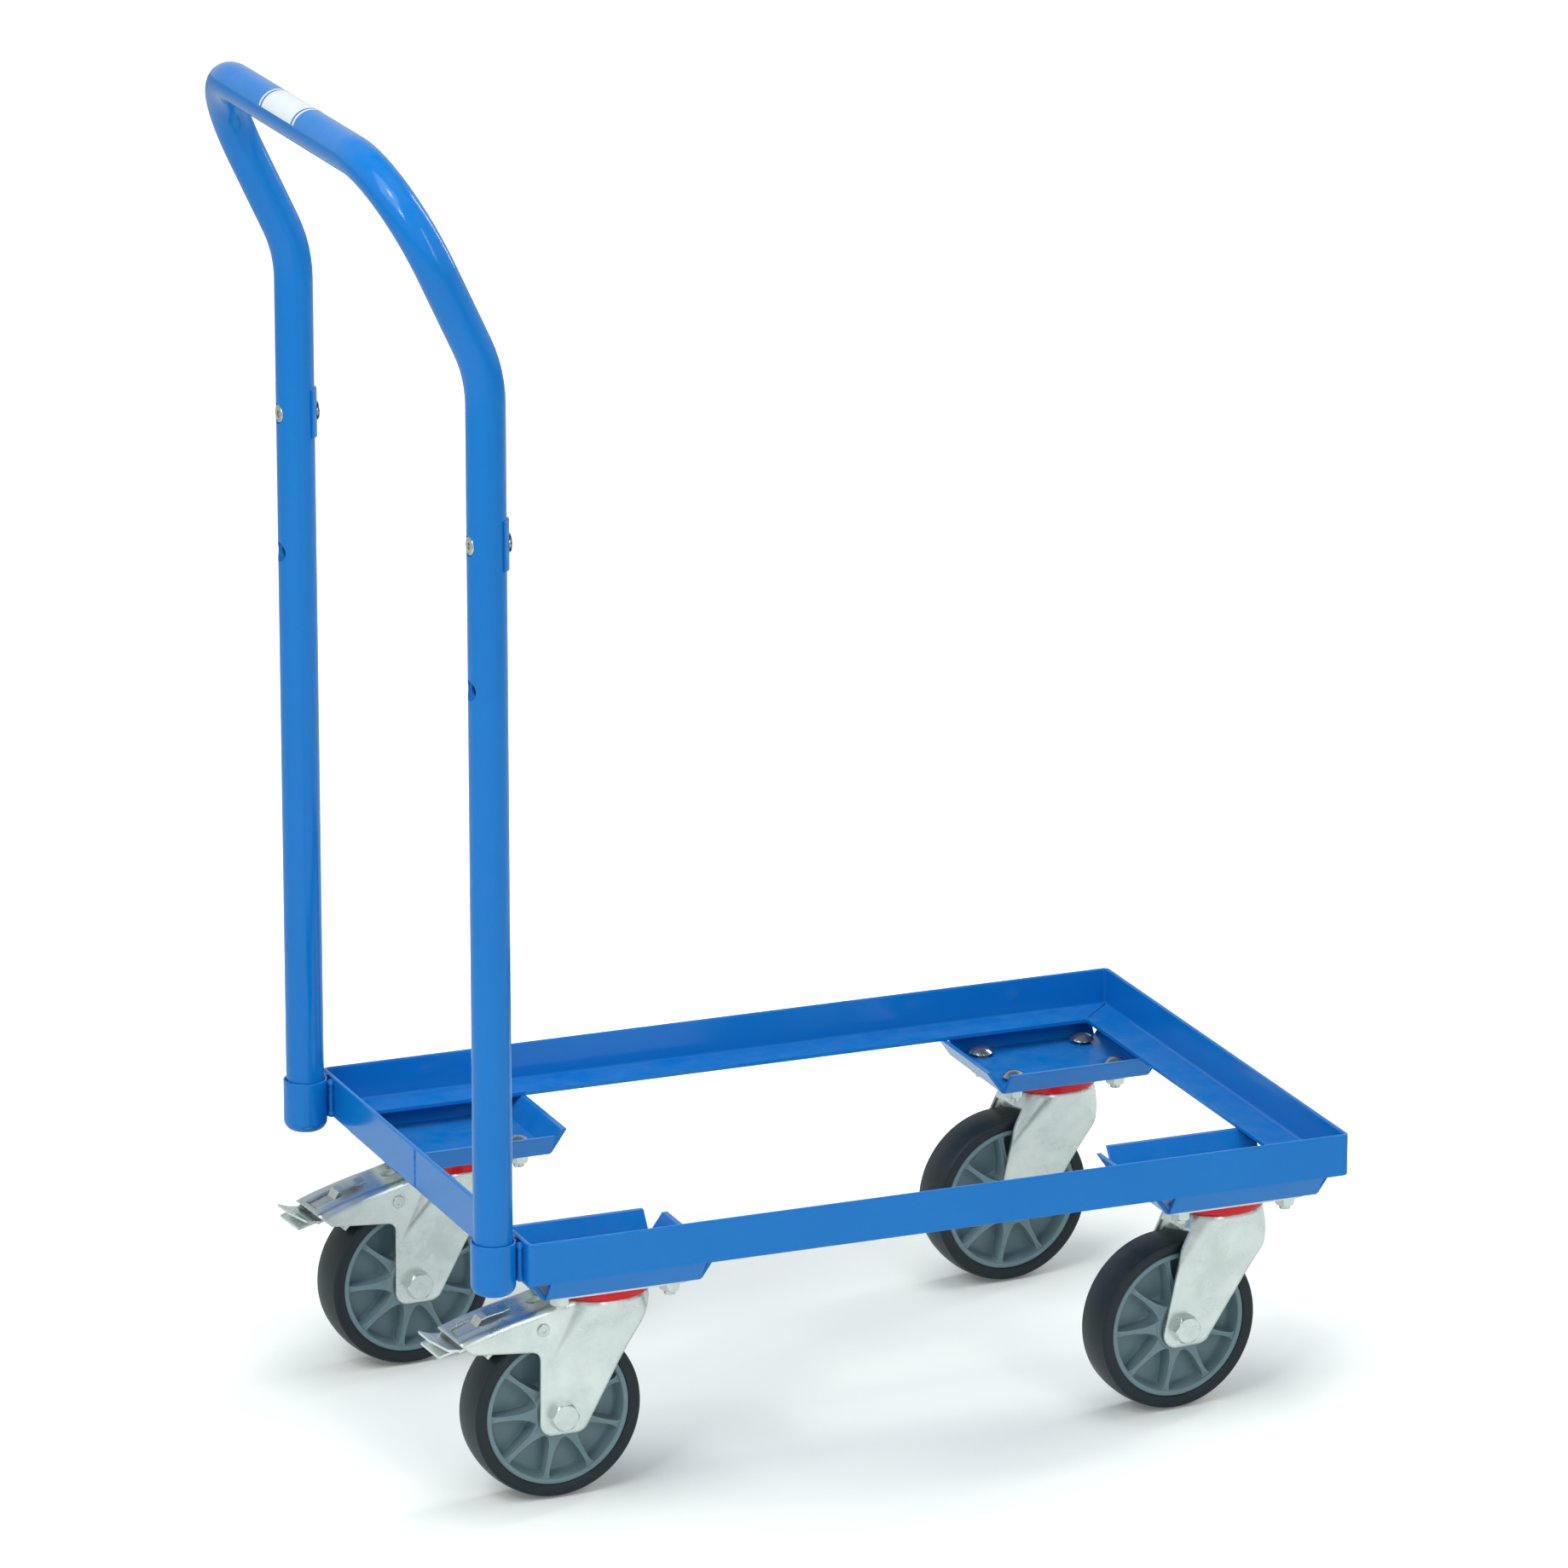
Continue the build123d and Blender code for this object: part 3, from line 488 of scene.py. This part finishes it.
ZINC_LOOK = (((0.60, 0.65, 0.64), (0.79, 0.84, 0.82)), (0.22, 0.36), 0.35, 38.0)
BRIGHT_LOOK = (((0.50, 0.52, 0.51), (0.70, 0.73, 0.72)), (0.16, 0.30), 0.5, 90.0)
FINISH["zinc"] = plated_steel("zinc_plate", *ZINC_LOOK)
FINISH["bright_steel"] = plated_steel("bright_steel", *BRIGHT_LOOK)
PRESSED_ZINC = plated_steel("pressed_zinc", *ZINC_LOOK, edge_radius=0.0032, highlight_share=0.1)
print("plated steels", FINISH["zinc"].name, FINISH["bright_steel"].name, PRESSED_ZINC.name)

# %% [markdown]
# ## Plastic and rubber
#
# The wheel centres are grey moulded plastic with soft scuffs and edges painted paler as a highlight; the
# tyres are dark rubber with a little dust; the dust rings are glossy red. None of the three is a metal, so they
# differ by colour, roughness and skin, and one function makes them all.

# %% Plastic and rubber
def moulded_plastic(name, dark, light, rough, ripple, highlight_colour=None, highlight_share=0.3, dust_amount=0.10):
    material, tree, shader = new_material(name)
    edges = place_group(tree, "edges", Radius=0.0006)
    peel = place_group(tree, "peel", Fine_Scale=1400.0, Slow_Scale=110.0)
    scuffs = place_group(tree, "scuffs", Scale=110.0, Threshold=0.66)
    dust = place_group(tree, "dust", Amount=dust_amount, Scale=80.0)
    tone = add_noise(tree, object_coordinates(tree), 26.0, 4.0)
    colour = add_mix(tree, tone, dark, light)
    # Edges painted towards a paler colour: a painted highlight.
    if highlight_colour:
        share = add_math(tree, "MULTIPLY", edges.outputs["Edge"], highlight_share)
        colour = add_mix(tree, share, colour, highlight_colour)
    colour = add_mix(tree, dust.outputs["Mask"], colour, (0.42, 0.44, 0.45))
    tree.links.new(colour, shader.inputs["Base Color"])
    rough_map = add_range(tree, tone, 0.3, 0.7, rough - 0.05, rough + 0.05)
    rough_map = add_math(tree, "ADD", rough_map, add_math(tree, "MULTIPLY", scuffs.outputs["Mask"], 0.15))
    tree.links.new(rough_map, shader.inputs["Roughness"])
    normal = add_bump(tree, peel.outputs["Height"], edges.outputs["Normal"], ripple, 0.0002)
    tree.links.new(normal, shader.inputs["Normal"])
    shader.inputs["Specular IOR Level"].default_value = 0.38
    return material


RED = ((0.66, 0.000, 0.006), (0.80, 0.001, 0.010))
GREY = ((0.135, 0.215, 0.245), (0.185, 0.275, 0.300))
GREY_HIGHLIGHT = (0.40, 0.52, 0.55)
BLACK = ((0.0035, 0.0105, 0.0165), (0.0070, 0.0180, 0.0260))
FINISH["red_plastic"] = moulded_plastic("red_plastic", *RED, 0.20, 0.05, dust_amount=0.02)
FINISH["grey_plastic"] = moulded_plastic("grey_plastic", *GREY, 0.40, 0.10, GREY_HIGHLIGHT, 0.6)
FINISH["tyre"] = moulded_plastic("tyre_rubber", *BLACK, 0.46, 0.20, dust_amount=0.05)
print("finishes so far", sorted(FINISH))

# %% [markdown]
# ## Label film
#
# The label is printed film, glued over the top of the grip. A pure white film would vanish against a
# white backdrop, so it is a light grey with two plain blue bands, drawn where the distance
# from the label's middle lies in a narrow range. No print would leave it looking like a notch in the bar.

# %% Label film
LABEL_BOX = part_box("grip_label")
LABEL_HALF = (LABEL_BOX[1].y - LABEL_BOX[0].y) / 2
BAND_MIDDLE = LABEL_HALF - 4.0 * MM
BAND_HALF = 1.3 * MM


def banded_film():
    material, tree, shader = new_material("banded_film")
    coordinates = tree.nodes.new("ShaderNodeTexCoord")
    split = tree.nodes.new("ShaderNodeSeparateXYZ")
    tree.links.new(coordinates.outputs["Object"], split.inputs[0])
    middle = (LABEL_BOX[0].y + LABEL_BOX[1].y) / 2
    along = add_math(tree, "ABSOLUTE", add_math(tree, "SUBTRACT", split.outputs["Y"], middle))
    off_band = add_math(tree, "ABSOLUTE", add_math(tree, "SUBTRACT", along, BAND_MIDDLE))
    band = add_math(tree, "LESS_THAN", off_band, BAND_HALF)
    edges = place_group(tree, "edges", Radius=0.0004)
    dust = place_group(tree, "dust", Amount=0.08, Scale=90.0)
    colour = add_mix(tree, band, (0.70, 0.76, 0.80), (0.012, 0.10, 0.36))
    colour = add_mix(tree, dust.outputs["Mask"], colour, (0.50, 0.52, 0.53))
    tree.links.new(colour, shader.inputs["Base Color"])
    tree.links.new(edges.outputs["Normal"], shader.inputs["Normal"])
    shader.inputs["Roughness"].default_value = 0.30
    return material


FINISH["white_film"] = banded_film()
print("label", round(2 * LABEL_HALF / MM), "mm long")

# %% [markdown]
# ## Dressing the CAD nodes
#
# The record that came with the frame says which finish each node has. Following it keeps every screw and
# plate in its right material, which picking them by hand would not.

# %% Finish of every CAD node
NODE_SLOT = {part["node"]: part["material_slot"] for part in frame["record"]["subparts"]}
for node_name, node in NODES.items():
    pressed = node_name.startswith("fork_")
    node.data.materials.clear()
    node.data.materials.append(PRESSED_ZINC if pressed else FINISH[NODE_SLOT[node_name]])
print("dressed", len(NODES), "nodes with", len(FINISH) + 1, "finishes")

# %% [markdown]
# ## Tools for modelling
#
# Round pieces are turned from half a section, like work on a lathe: the section is drawn once and spun
# about its axis. A wheel's pieces are modelled lying flat on their own axis and are then moved into place
# with one matrix, so their objects stay at the origin like the CAD nodes.

# %% Section, lathe and placing
def draw_section(bm, points):
    """An open edge line through (radius, height) points in millimetres, in the XZ plane."""
    verts = [bm.verts.new((radius * MM, 0.0, height * MM)) for radius, height in points]
    edges = [bm.edges.new(pair) for pair in zip(verts, verts[1:])]
    return verts + edges


def arc(centre, radius, start, end, steps):
    """Points on an arc in the section plane, from start to end in degrees."""
    turns = [radians(start + (end - start) * i / steps) for i in range(steps + 1)]
    return [(centre[0] + radius * cos(turn), centre[1] + radius * sin(turn)) for turn in turns]


def lathe(points, steps):
    """Closed round piece turned from a section whose last point meets its first."""
    bm = bmesh.new()
    line = draw_section(bm, points)
    bmesh.ops.spin(bm, geom=line, cent=(0, 0, 0), axis=(0, 0, 1), angle=2 * pi, steps=steps, use_merge=True)
    bmesh.ops.remove_doubles(bm, verts=bm.verts[:], dist=1e-6)
    bmesh.ops.recalc_face_normals(bm, faces=bm.faces[:])
    return bm


def make_piece(name, bm, body, slot_name, node, matrix=None, crease=35.0):
    """Turn a bmesh into a shaded object that rides on a body and stands for a CAD node."""
    if matrix is not None:
        bmesh.ops.transform(bm, matrix=matrix, verts=bm.verts[:])
    for face in bm.faces:
        face.smooth = True
    for edge in bm.edges:
        sharp = len(edge.link_faces) == 2 and edge.calc_face_angle(0.0) > radians(crease)
        edge.smooth = not sharp
    mesh = bpy.data.meshes.new(name)
    bm.to_mesh(mesh)
    bm.free()
    piece = bpy.data.objects.new(name, mesh)
    scene.collection.objects.link(piece)
    mesh.materials.append(FINISH[slot_name])
    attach(piece, body)
    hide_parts(node)
    print(name, "faces", len(mesh.polygons))


def axle_matrix(corner):
    """Local Z along the wheel's axle, local Y up, origin at the wheel's centre."""
    joint = JOINTS[f"roll_{corner}"]
    axle = Vector(joint["axis"]).normalized()
    up = Vector((0.0, 0.0, 1.0))
    side = up.cross(axle).normalized()
    matrix = Matrix((side, up, axle)).transposed().to_4x4()
    matrix.translation = Vector(joint["pos_m"])
    return matrix


print("near wheel's centre", [round(c, 3) for c in axle_matrix("rear_right").translation])

# %% [markdown]
# ## Tyres
#
# The tyre is moulded rubber: a slightly crowned tread, small round shoulders, and a side wall that
# steps down to the rim. Turning it from one section gives every one of those curves at once, and the
# light catches the shoulder as one continuous ring.

# %% Tyres
TYRE_R = 62.5
TREAD_CROWN_R = 66.0
SHOULDER_R = 2.6
TYRE_HALF = 16.0
TREAD_STEPS = 6
TYRE_STEPS = 128


def tyre_section():
    """Upper half of the tyre's section from the tread's middle to its seat on the rim."""
    tread_end = TYRE_HALF - SHOULDER_R - 0.2
    tread = []
    for i in range(TREAD_STEPS + 1):
        height = tread_end * i / TREAD_STEPS
        tread.append((TYRE_R - TREAD_CROWN_R + sqrt(TREAD_CROWN_R ** 2 - height ** 2), height))
    shoulder = arc((tread[-1][0] - SHOULDER_R, tread_end + 0.1), SHOULDER_R, 8, 84, 6)
    wall = [(57.4, 15.75), (56.6, 15.55), (55.9, 15.6), (55.1, 15.5)]
    seat = [(54.0, 15.0), (53.2, 14.75), (52.75, 14.3), (52.6, 13.4)]
    return tread + shoulder + wall + seat


def make_tyre(corner):
    """One tyre, turned from its full section."""
    upper = tyre_section()
    lower = [(radius, -height) for radius, height in reversed(upper[1:])]
    bm = lathe(upper + lower + upper[:1], TYRE_STEPS)
    node = f"tyre_{corner}"
    make_piece(f"{node}_rubber", bm, f"wheel_{corner}", "tyre", node, axle_matrix(corner))


for corner in CORNERS:
    make_tyre(corner)

# %% [markdown]
# ## Wheel centres
#
# The grey centre is one moulding: a rim with a raised lip, a thin web, a hub and nine ribs that
# widen towards the rim and the hub; the moulding's edges are painted paler as a highlight. Its faces have
# draft so that it leaves the mould, which is why the inside of the rim slopes. The ribs start as flat grids
# laid across the web and are lifted by a function of radius and width; that gives soft, hollow-topped ribs
# that a box could not. They stay open sheets: their edges are sunk in the web, the rim and the hub, but they
# are not joined to them.

# %% Wheel centres
RIM_FACE = 14.4
WEB_FACE = 2.6
HUB_FACE = 17.6
BOSS_FACE = 18.6
BORE_R = 8.05
CENTRE_STEPS = 144
RIBS = 9
RIB_CREASE = 50.0
RIB_CREST = 16.3
RIB_CREST_DROP = 3.6
RIB_FLANK = 0.34
RIB_DISH = 0.35
RIB_DRAFT = 0.84
RIB_SINK = 0.2
RIB_HALF_WIDTHS = (
    (17.5, 5.4), (21.0, 3.6), (26.0, 2.3), (33.0, 1.6), (41.0, 1.4), (46.0, 1.8), (48.9, 3.0)
)
RIB_IN_R = RIB_HALF_WIDTHS[0][0]
RIB_OUT_R = RIB_HALF_WIDTHS[-1][0]


def centre_section():
    """Upper half of the section of rim, web and hub, from outside to the bore."""
    rim = [(52.55, 0.0), (52.55, 13.6), (52.3, 14.1), (51.9, RIM_FACE), (50.6, RIM_FACE + 0.05)]
    lip = [(49.4, RIM_FACE), (48.95, 14.15), (48.7, 13.6), (48.3, 12.0), (47.3, 8.0), (46.4, 4.9)]
    web = [(45.6, 3.5), (44.6, 2.85), (43.4, WEB_FACE), (36.0, WEB_FACE), (28.0, WEB_FACE), (22.2, WEB_FACE)]
    hub = [(21.1, 2.9), (20.2, 3.7), (19.7, 5.0), (19.1, 11.0), (18.6, 16.6), (18.3, 17.3), (17.6, HUB_FACE)]
    face = [(15.4, HUB_FACE), (14.9, 17.2), (13.6, 17.1), (13.0, 17.4), (12.6, 18.2), (12.1, BOSS_FACE)]
    return rim + lip + web + hub + face + [(8.8, BOSS_FACE), (BORE_R, 18.0), (BORE_R, 9.0), (BORE_R, 0.0)]


def rib_half_width(radius):
    """Half the rib's width at a radius, from the short list above."""
    for (r0, w0), (r1, w1) in zip(RIB_HALF_WIDTHS, RIB_HALF_WIDTHS[1:]):
        if radius <= r1:
            share = (radius - r0) / (r1 - r0)
            return w0 + (w1 - w0) * share
    return RIB_HALF_WIDTHS[-1][1]


def rib_height(radius, across):
    """Height over the wheel's middle plane; across runs from -1 to 1 over the rib's whole foot."""
    share = (radius - RIB_IN_R) / (RIB_OUT_R - RIB_IN_R)
    crest = RIB_CREST - RIB_CREST_DROP * share ** 0.8
    steep = min(1.0, (1.0 - abs(across)) / RIB_FLANK)
    rounded = sin(steep * pi / 2)
    dish = RIB_DISH * max(0.0, 1.0 - (abs(across) / 0.5) ** 2)
    return WEB_FACE - RIB_SINK + (crest - dish - WEB_FACE) * rounded


def make_rib():
    """One rib along local X, as an open sheet over the web."""
    bm = bmesh.new()
    bmesh.ops.create_grid(bm, x_segments=22, y_segments=12, size=1.0)
    top_share = 1.0 - RIB_FLANK
    for vert in bm.verts:
        radius = RIB_IN_R + (RIB_OUT_R - RIB_IN_R) * (vert.co.x + 1.0) / 2.0
        across = vert.co.y
        draft = RIB_DRAFT * max(0.0, abs(across) - top_share) / RIB_FLANK
        width = rib_half_width(radius) * min(1.0, abs(across) / top_share) + draft
        height = rib_height(radius, across)
        side = 1 if across >= 0 else -1
        vert.co = Vector((radius * MM, width * MM * side, height * MM))
    return bm


def make_wheel_centre(corner):
    """Rim, web and hub from the lathe, with rib sheets sunk into both faces of the web."""
    upper = centre_section()
    lower = [(radius, -height) for radius, height in reversed(upper[1:-1])]
    bm = lathe(upper + lower + upper[:1], CENTRE_STEPS)
    ribs = make_rib()
    geom = ribs.verts[:] + ribs.edges[:] + ribs.faces[:]
    turn = 2 * pi * (RIBS - 1) / RIBS
    bmesh.ops.spin(
        ribs, geom=geom, cent=(0, 0, 0), axis=(0, 0, 1), angle=turn, steps=RIBS - 1, use_duplicate=True
    )
    geom = ribs.verts[:] + ribs.edges[:] + ribs.faces[:]
    bmesh.ops.mirror(ribs, geom=geom, axis="Z", merge_dist=-1.0)
    bmesh.ops.recalc_face_normals(ribs, faces=ribs.faces[:])
    rib_mesh = bpy.data.meshes.new("ribs")
    ribs.to_mesh(rib_mesh)
    ribs.free()
    bm.from_mesh(rib_mesh)
    bpy.data.meshes.remove(rib_mesh)
    node = f"wheel_centre_{corner}"
    place = axle_matrix(corner)
    make_piece(f"{node}_moulding", bm, f"wheel_{corner}", "grey_plastic", node, place, RIB_CREASE)


for corner in CORNERS:
    make_wheel_centre(corner)

# %% [markdown]
# ## Weld beads
#
# A bead is a row of frozen puddles, each laid a little over the last one. Each puddle is a small ball,
# flattened and tilted along the run, with its size changed a little by a seeded random number. Close
# puddles give a smooth run, and a larger one ends it at top and bottom. They stay separate closed shapes
# that overlap, which looks the same as one fused bead once they are painted.

# %% Weld beads
FRAME_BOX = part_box("angle_frame")
SOCKET_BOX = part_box("socket_left")
BEADS = random.Random(7)
SOCKET_PUDDLES = 26
SOCKET_PUDDLE = (2.2, 2.4, 2.2)
END_PUDDLE = (3.0, 3.4, 2.8)
SEAM_PUDDLES = 15
SEAM_PUDDLE = (1.3, 1.7, 1.5)
SEAM_MARGIN = 2.5 * MM


def add_puddle(bm, place, size, tilt):
    """One flattened ball of weld metal; size is its (X, Y, Z) half extent in millimetres."""
    made = bmesh.ops.create_icosphere(bm, subdivisions=3, radius=MM)
    shape = Matrix.Translation(place) @ Matrix.Rotation(tilt, 4, "Y") @ Matrix.Diagonal((*size, 1.0))
    bmesh.ops.transform(bm, matrix=shape, verts=made["verts"])


def add_bead(bm, x, y, low, high, count, size):
    """An upright row of puddles between two heights."""
    for i in range(count):
        z = low + (high - low) * i / (count - 1)
        wobble = BEADS.uniform(-0.12, 0.12) * MM
        grow = BEADS.uniform(0.95, 1.06)
        puddle = (size[0] * grow, size[1] * grow, size[2] * grow)
        add_puddle(bm, Vector((x + wobble, y + wobble, z)), puddle, radians(BEADS.uniform(18, 32)))


def make_weld_beads():
    """Two runs between each socket and the rear rail, and the upright seam on that rail."""
    bm = bmesh.new()
    rail = FRAME_BOX[0].x
    gap_x = rail - 1.6 * MM
    low = SOCKET_BOX[0].z + 11 * MM
    high = FRAME_BOX[1].z - 4 * MM
    post_y = (SOCKET_BOX[0].y + SOCKET_BOX[1].y) / 2
    for side in (-1, 1):
        for offset in (-6.0, 6.0):
            y = side * post_y + offset * MM
            add_bead(bm, gap_x, y, low, high, SOCKET_PUDDLES, SOCKET_PUDDLE)
            add_puddle(bm, Vector((gap_x, y, high)), END_PUDDLE, 0.0)
            add_puddle(bm, Vector((gap_x, y, low)), END_PUDDLE, 0.0)
    seam_low = FRAME_BOX[0].z + SEAM_MARGIN
    seam_high = FRAME_BOX[1].z - SEAM_MARGIN
    add_bead(bm, rail + 0.5 * MM, 15 * MM, seam_low, seam_high, SEAM_PUDDLES, SEAM_PUDDLE)
    make_piece("weld_runs", bm, "chassis", "blue_paint", "weld_beads")


make_weld_beads()
